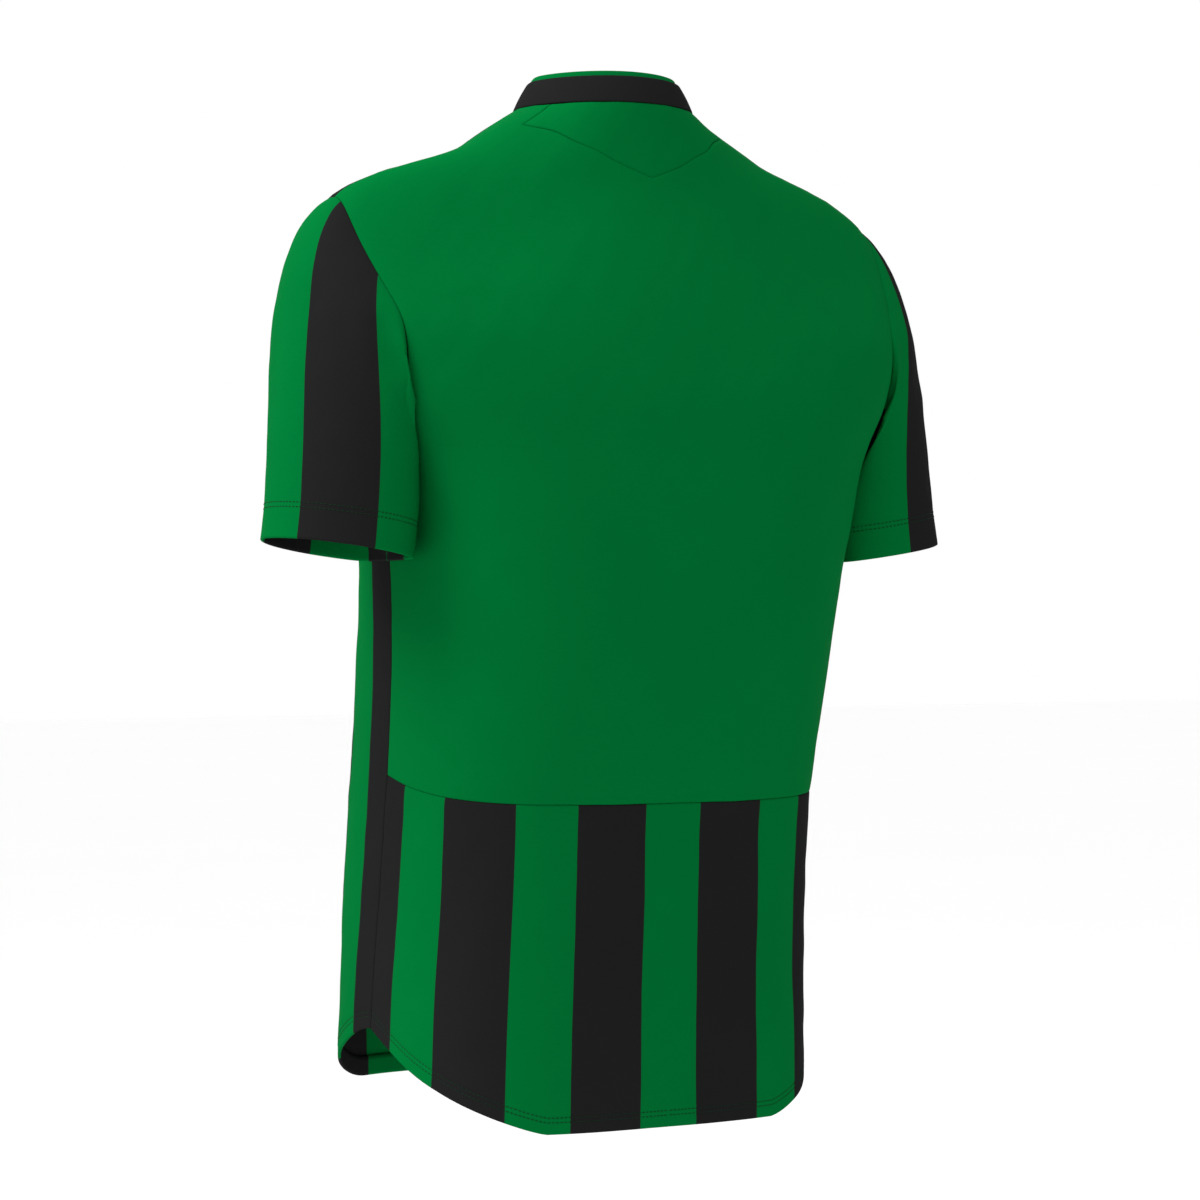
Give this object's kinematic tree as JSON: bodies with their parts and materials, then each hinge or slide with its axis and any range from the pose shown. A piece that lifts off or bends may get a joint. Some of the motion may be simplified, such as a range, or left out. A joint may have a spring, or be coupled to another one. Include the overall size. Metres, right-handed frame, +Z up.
{
  "type": "football jersey",
  "caption": "Short-sleeved football jersey in its worn, hollow form, with a plain back over a striped lower back, striped sleeves, a small V yoke and a round banded collar.",
  "frame": {"origin": "middle of the neck opening, level with the points where the shoulder seams meet the collar, where the wearer carries the jersey", "axes": "+Z up, +X to the wearer's left, the front of the jersey faces -Y"},
  "size_m": [0.5628, 0.2896, 0.759],
  "materials": {
    "plain_knit": "matt smooth polyester knit, plain green",
    "striped_knit": "matt smooth polyester knit, green and black upright stripes",
    "black_band": "matt fine rib knit, black",
    "green_band": "matt fine rib knit, green"
  },
  "bodies": {
    "root": {"front": "striped_knit", "back": "plain_knit", "back_lower": "striped_knit", "back_yoke": "plain_knit", "sleeve_left": "striped_knit", "sleeve_right": "striped_knit", "collar_band": "black_band", "collar_inner": "green_band"}
  },
  "joints": []
}
